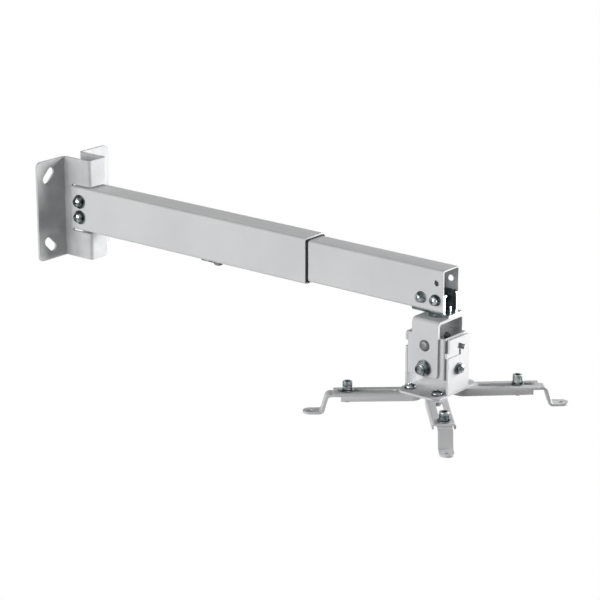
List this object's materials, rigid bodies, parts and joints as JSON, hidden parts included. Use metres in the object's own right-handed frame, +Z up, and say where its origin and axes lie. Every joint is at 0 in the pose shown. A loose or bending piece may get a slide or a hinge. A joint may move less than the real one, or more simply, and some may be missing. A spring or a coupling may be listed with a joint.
{
  "type": "projector mount",
  "caption": "Telescopic wall arm with a turning, tilting and rolling head and adjustable feet that hold a projector below it.",
  "frame": {"origin": "centre of the wall plate's back face, at the middle of its four slots", "axes": "+X out of the wall along the arm, +Z up"},
  "size_m": [0.6127, 0.2091, 0.1879],
  "materials": {
    "coat": "satin silver grey powder coat",
    "zinc": "bright zinc plate",
    "dark_zinc": "black zinc plate",
    "black_plastic": "matte"
  },
  "bodies": {
    "wall": {"wall_plate": "coat", "outer_tube": "coat", "guide_sleeve": "black_plastic", "wall_bolts": "zinc", "wall_spring_washers": "zinc", "wall_washers": "zinc", "wall_nuts": "zinc", "lock_strip": "coat", "lock_screw": "zinc", "lock_rivet": "zinc"},
    "slider": {"inner_tube": "coat", "rear_guide": "black_plastic", "head_bracket": "dark_zinc", "bracket_bolts": "zinc", "bracket_spring_washers": "zinc", "bracket_washers": "zinc", "bracket_nuts": "zinc", "swivel_bolt": "zinc", "swivel_spacer": "zinc", "swivel_washer": "zinc", "swivel_nut": "zinc"},
    "yoke": {"swivel_yoke": "coat", "tilt_rivets": "zinc", "tilt_bolt": "zinc", "tilt_washers": "zinc", "tilt_nut": "zinc"},
    "cradle": {"tilt_cradle": "coat", "roll_screw": "zinc", "roll_washer": "dark_zinc", "roll_nut": "zinc", "roll_rivet": "zinc", "roll_spacer": "zinc"},
    "spider": {"spider_plate": "coat", "arm_screws": "zinc", "arm_screw_nuts": "zinc"},
    "arm_near_wall": {"arm_near_wall": "coat"},
    "foot_near_wall": {"foot_near_wall": "coat", "foot_bolt_near_wall": "zinc", "foot_spring_washer_near_wall": "zinc", "foot_washer_near_wall": "zinc", "foot_nut_near_wall": "zinc"},
    "arm_near_end": {"arm_near_end": "coat"},
    "foot_near_end": {"foot_near_end": "coat", "foot_bolt_near_end": "zinc", "foot_spring_washer_near_end": "zinc", "foot_washer_near_end": "zinc", "foot_nut_near_end": "zinc"},
    "arm_far_end": {"arm_far_end": "coat"},
    "foot_far_end": {"foot_far_end": "coat", "foot_bolt_far_end": "zinc", "foot_spring_washer_far_end": "zinc", "foot_washer_far_end": "zinc", "foot_nut_far_end": "zinc"},
    "arm_far_wall": {"arm_far_wall": "coat"},
    "foot_far_wall": {"foot_far_wall": "coat", "foot_bolt_far_wall": "zinc", "foot_spring_washer_far_wall": "zinc", "foot_washer_far_wall": "zinc", "foot_nut_far_wall": "zinc"}
  },
  "joints": [
    {"name": "arm_slide", "type": "slide", "parent": "wall", "child": "slider", "axis": [1, 0, 0], "range_m": [-0.127, 0.03]},
    {"name": "head_swivel", "type": "hinge", "parent": "slider", "child": "yoke", "pos_m": [0.5138, 0, -0.03], "axis": [0, 0, 1], "continuous": true},
    {"name": "head_tilt", "type": "hinge", "parent": "yoke", "child": "cradle", "pos_m": [0.5138, 0, -0.0564], "axis": [0, 1, 0], "range_deg": [-15, 15]},
    {"name": "head_roll", "type": "hinge", "parent": "cradle", "child": "spider", "pos_m": [0.5138, 0, -0.0805], "axis": [1, 0, 0], "range_deg": [-8, 8]},
    {"name": "arm_swing_near_wall", "type": "hinge", "parent": "spider", "child": "arm_near_wall", "pos_m": [0.497, -0.0228, -0.1074], "axis": [0, 0, 1], "range_deg": [-30, 30]},
    {"name": "foot_slide_near_wall", "type": "slide", "parent": "arm_near_wall", "child": "foot_near_wall", "axis": [-0.7547, -0.6561, 0], "range_m": [-0.03, 0.006]},
    {"name": "arm_swing_near_end", "type": "hinge", "parent": "spider", "child": "arm_near_end", "pos_m": [0.5306, -0.0228, -0.1074], "axis": [0, 0, 1], "range_deg": [-30, 30]},
    {"name": "foot_slide_near_end", "type": "slide", "parent": "arm_near_end", "child": "foot_near_end", "axis": [0.6626, -0.749, 0], "range_m": [-0.03, 0]},
    {"name": "arm_swing_far_end", "type": "hinge", "parent": "spider", "child": "arm_far_end", "pos_m": [0.5306, 0.0228, -0.1074], "axis": [0, 0, 1], "range_deg": [-30, 30]},
    {"name": "foot_slide_far_end", "type": "slide", "parent": "arm_far_end", "child": "foot_far_end", "axis": [0.7314, 0.682, 0], "range_m": [-0.03, 0.014]},
    {"name": "arm_swing_far_wall", "type": "hinge", "parent": "spider", "child": "arm_far_wall", "pos_m": [0.497, 0.0228, -0.1074], "axis": [0, 0, 1], "range_deg": [-30, 30]},
    {"name": "foot_slide_far_wall", "type": "slide", "parent": "arm_far_wall", "child": "foot_far_wall", "axis": [-0.7071, 0.7071, 0], "range_m": [-0.03, 0.008]}
  ]
}
